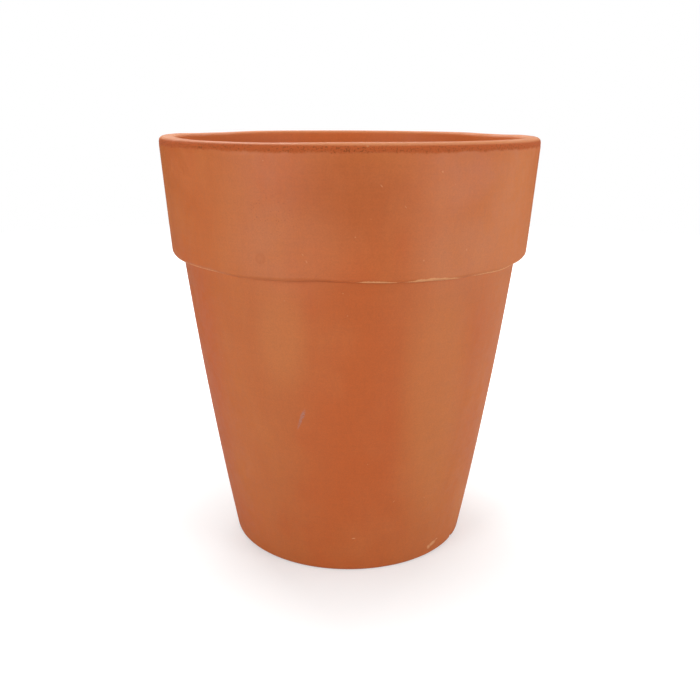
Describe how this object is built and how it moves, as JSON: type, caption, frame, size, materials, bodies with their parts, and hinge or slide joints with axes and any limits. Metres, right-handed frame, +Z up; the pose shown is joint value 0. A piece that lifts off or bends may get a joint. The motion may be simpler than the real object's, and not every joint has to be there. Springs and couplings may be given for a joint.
{
  "type": "terracotta plant pot",
  "caption": "Tall tapered terracotta plant pot with a deep flared collar, a rounded lip and a drain hole in its floor.",
  "frame": {"origin": "centre of the plane that the pot stands on, on the pot's axis", "axes": "+Z up along the pot's axis, from the foot to the mouth; X and Y are any two level directions, because the pot is round"},
  "size_m": [0.24, 0.24, 0.2677],
  "materials": {
    "terracotta": "matte"
  },
  "bodies": {
    "root": {"pot": "terracotta"}
  },
  "joints": []
}
